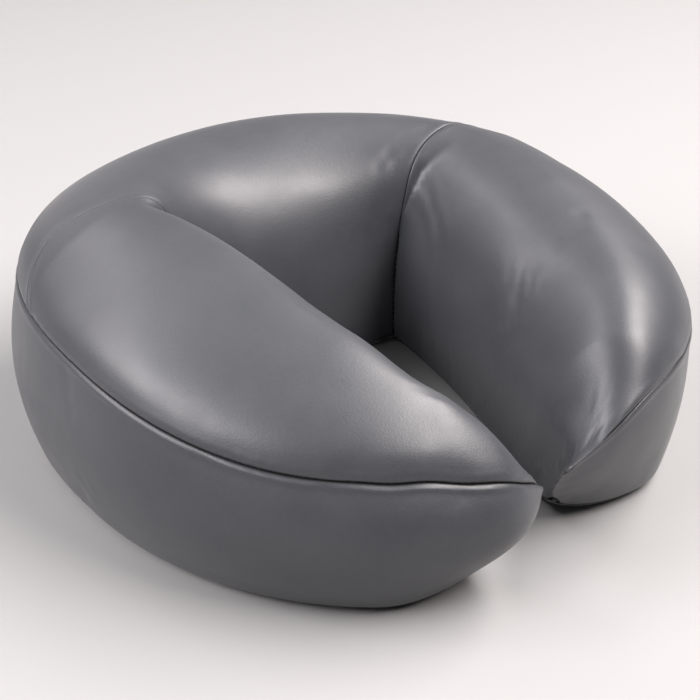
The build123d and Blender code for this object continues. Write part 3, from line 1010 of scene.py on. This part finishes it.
def thread_material():
    """Charcoal polyester thread with its twist."""
    n = Nodes("thread")
    twist = n.wave(900.0, 2.0)
    tone = n.mix(twist, (0.018, 0.019, 0.022), (0.05, 0.052, 0.058))
    n.set(Base_Color=tone, Roughness=0.6, Normal=n.bump(twist, 0.0002, 0.6))
    return n.material


def woven_material(name, dark, light, scale):
    """A plain weave: two crossed waves with slubs."""
    n = Nodes(name)
    warp = n.wave(scale, 0.6, bands_direction="X")
    weft = n.wave(scale, 0.6, bands_direction="Y")
    weave = n.math("MULTIPLY", warp, weft)
    slub = n.math("MULTIPLY", n.noise(180.0), 0.6)
    tone = n.mix(n.fit(n.math("ADD", weave, slub), 0.2, 1.2), dark, light)
    n.set(Base_Color=tone, Roughness=0.8, Normal=n.bump(weave, 0.00025, 0.8), Sheen_Weight=0.2)
    return n.material


def foam_material(name, dark, light, scale):
    """Open-cell foam: pores and a faint cloudiness."""
    n = Nodes(name)
    pores = n.cells(scale)
    tone = n.mix(n.fit(pores, 0.0, 0.6), dark, light)
    tone = n.mix(n.fit(n.noise(12.0), 0.35, 0.7, 0.0, 0.25), tone, dark)
    n.set(Base_Color=tone, Roughness=0.95, Normal=n.bump(pores, 0.0008, 0.9))
    return n.material


def pile_material():
    """Black brushed loops."""
    n = Nodes("loop_pile")
    fuzz = n.noise(900.0, 6.0, 0.7)
    loops = n.fit(n.math("ADD", fuzz, n.cells(1100.0, "F1")), 0.4, 1.3)
    n.set(
        Base_Color=n.mix(loops, (0.012, 0.012, 0.014), (0.06, 0.06, 0.066)),
        Roughness=0.92,
        Normal=n.bump(fuzz, 0.0006),
        Sheen_Weight=0.5,
        Sheen_Roughness=0.4,
    )
    return n.material


def coil_material():
    """Black nylon monofilament."""
    n = Nodes("zip_coil")
    tone = n.mix(n.noise(300.0), (0.02, 0.02, 0.023), (0.04, 0.041, 0.046))
    n.set(Base_Color=tone, Roughness=0.35, Normal=n.bump(n.noise(700.0), 0.00008, 0.4))
    return n.material


def metal_material():
    """Black lacquered zinc, worn to grey on its high spots."""
    n = Nodes("zip_metal")
    wear = n.fit(n.noise(260.0, 5.0, 0.65), 0.58, 0.72)
    scratch = n.noise(1500.0, 2.0)
    n.set(
        Base_Color=n.mix(wear, (0.022, 0.022, 0.024), (0.32, 0.31, 0.30)),
        Metallic=n.fit(wear, 0.0, 1.0, 0.35, 1.0),
        Roughness=n.fit(scratch, 0.3, 0.7, 0.28, 0.5),
        Normal=n.bump(scratch, 0.00005, 0.4),
    )
    return n.material


vinyl = vinyl_material()
thread = thread_material()
nylon = woven_material("base_fabric", (0.02, 0.02, 0.023), (0.062, 0.063, 0.07), 420.0)
tape_cloth = woven_material("zip_tape", (0.018, 0.018, 0.021), (0.05, 0.05, 0.056), 560.0)
pile = pile_material()
coil = coil_material()
metal = metal_material()
firm = foam_material("firm_foam", (0.42, 0.42, 0.44), (0.62, 0.62, 0.64), 900.0)
slow = foam_material("memory_foam", (0.62, 0.55, 0.38), (0.82, 0.76, 0.58), 1300.0)


def dress(o, look, slot, *nodes, padded=None):
    """Gives a piece its material and body, and hides the CAD nodes it stands for. Its slot is not used.
    """
    o.data.materials.clear()
    o.data.materials.append(look)
    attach(o, "cushion")
    if nodes:
        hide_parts(*nodes)
    return o


COVER_FILL, FOAM_FILL = 0.9, 1.0
for name, node in (
    ("crown", "crown_panel"),
    ("left_cheek", "left_cheek_panel"),
    ("right_cheek", "right_cheek_panel"),
    ("band", "outer_band"),
):
    dress(covers[name], vinyl, "vinyl", node, padded=COVER_FILL)

foam_base, foam_topper = foam_pieces()
dress(foam_base, firm, "firm_foam", "foam_base", padded=FOAM_FILL)
dress(foam_topper, slow, "memory_foam", "foam_topper", padded=FOAM_FILL)

for piece, node, panel, edge in (
    ("top_stitches", "top_seam", "band", "high"),
    ("left_cross_stitches", "left_cross_seam", "crown", "first"),
    ("right_cross_stitches", "right_cross_seam", "crown", "last"),
    ("left_tip_stitches", "left_tip_seam", "band", "first"),
    ("right_tip_stitches", "right_tip_seam", "band", "last"),
):
    path, up = sunk_edge(panel, edge, SEAM_DEPTH)
    dress(many(piece, stitches(path, up)), thread, "thread", node)

base = base_piece()
cut_slot(base)
dress(base, nylon, "base_fabric", "base_panel")
dress(hem_piece(), nylon, "base_fabric")

BASE_SEAM_DEPTH, BASE_SEAM_DROP = 2.9, 1.1
band_low = sunk_edge("band", "low", BASE_SEAM_DEPTH)[0]
faces_round = ("left_cheek", "crown", "right_cheek")
face_low = np.concatenate([sunk_edge(name, "high", BASE_SEAM_DEPTH)[0] for name in faces_round])
band_low[:, 2] -= BASE_SEAM_DROP
face_low[:, 2] -= BASE_SEAM_DROP
dress(many("base_stitches", stitches(band_low) + stitches(face_low)), thread, "thread", "base_seam")

STRIPS = {
    # node: (x, y, size along x, size along y)
    "left_loop_strip": (-96.0, -22.0, 38.0, 120.0),
    "right_loop_strip": (96.0, -22.0, 38.0, 120.0),
    "rear_loop_strip": (0.0, 74.0, 110.0, 38.0),
}
for node, at in STRIPS.items():
    dress(pile_strip(node.replace("_strip", "_pile"), *at), pile, "loop_pile", node)
    dress(many(node.replace("_strip", "_stitches"), strip_stitches(*at)), thread, "thread")

for kind, make, look in (("coil", coil_piece, coil), ("tape", tape_piece, tape_cloth)):
    for end, side in (("front", -1), ("rear", 1)):
        piece = kind + "_" + end
        dress(make(piece, side), look, "zip_" + kind, "zip_" + piece)
for node in ("zip_slider", "zip_pull", "zip_top_stops", "zip_bottom_stop"):
    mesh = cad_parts[node].data
    mesh.materials.clear()
    mesh.materials.append(metal)

# ---------------------------------------------------------------- camera
AZIMUTH, ELEVATION, ROLL = -35.064, 30.604, -0.513
DISTANCE = 793.2
TARGET = Vector((-21.30, -17.06 + SHIFT_Y, 42.99 + LIFT)) * MM
SENSOR, LENS = 36.0, 87.768
SHIFT = (0.0287, 0.0172)


def way_from(azimuth, elevation):
    """The direction from the object to a camera or lamp, from angles in degrees."""
    a, e = math.radians(azimuth), math.radians(elevation)
    return Vector((math.sin(a) * math.cos(e), -math.cos(a) * math.cos(e), math.sin(e)))


back = way_from(AZIMUTH, ELEVATION)
right = way_from(AZIMUTH + 90, 0)
up = back.cross(right)
r = math.radians(ROLL)
lens = bpy.data.cameras.new("camera")
lens.sensor_width, lens.lens = SENSOR, LENS
lens.shift_x, lens.shift_y = SHIFT
camera = bpy.data.objects.new("camera", lens)
axes = (math.cos(r) * right + math.sin(r) * up, math.cos(r) * up - math.sin(r) * right, back)
stand = Matrix(axes).transposed().to_4x4()
stand.translation = TARGET + back * DISTANCE * MM
camera.matrix_world = stand
bpy.context.scene.collection.objects.link(camera)
bpy.context.scene.camera = camera

# ---------------------------------------------------------------- stage and light
FLOOR_SIZE, FLOOR_GREY = 6, 0.3
WORLD_STRENGTH = 0.1
LAMP_AIM = Vector((0, 0, 0.08))

bpy.ops.mesh.primitive_plane_add(size=FLOOR_SIZE, location=(0, 0, 0))
floor = bpy.context.object
floor.name = "floor"
paper = Nodes("paper")
paper.set(Base_Color=(FLOOR_GREY, FLOOR_GREY, FLOOR_GREY, 1), Roughness=0.9)
floor.data.materials.append(paper.material)
world = bpy.data.worlds.new("world")
bpy.context.scene.world = world
world.use_nodes = True
sky = world.node_tree.nodes["Background"]
sky.inputs["Color"].default_value = (1, 1, 1, 1)
sky.inputs["Strength"].default_value = WORLD_STRENGTH


def soft_light(name, azimuth, elevation, distance, size, power, color):
    """A soft box that looks at the cushion from a direction."""
    way = way_from(azimuth, elevation)
    light = bpy.data.lights.new(name, "AREA")
    light.shape = "RECTANGLE"
    light.size, light.size_y = size
    light.energy = power
    light.color = color
    lamp = bpy.data.objects.new(name, light)
    lamp.location = LAMP_AIM + way * distance
    lamp.rotation_euler = way.to_track_quat("Z", "Y").to_euler()
    bpy.context.scene.collection.objects.link(lamp)


soft_light("right_box", 58, 54, 1.3, (1.8, 0.34), 54, (1.0, 0.94, 0.92))
soft_light("left_box", -105, 34, 1.5, (1.3, 0.5), 30, (1.0, 0.96, 0.97))
soft_light("back_box", -150, 46, 1.5, (1.2, 0.4), 10, (1.0, 0.95, 0.96))
soft_light("top_box", 150, 66, 1.6, (1.3, 0.9), 4, (0.93, 0.96, 1.0))
bpy.context.scene.view_settings.view_transform = "Standard"
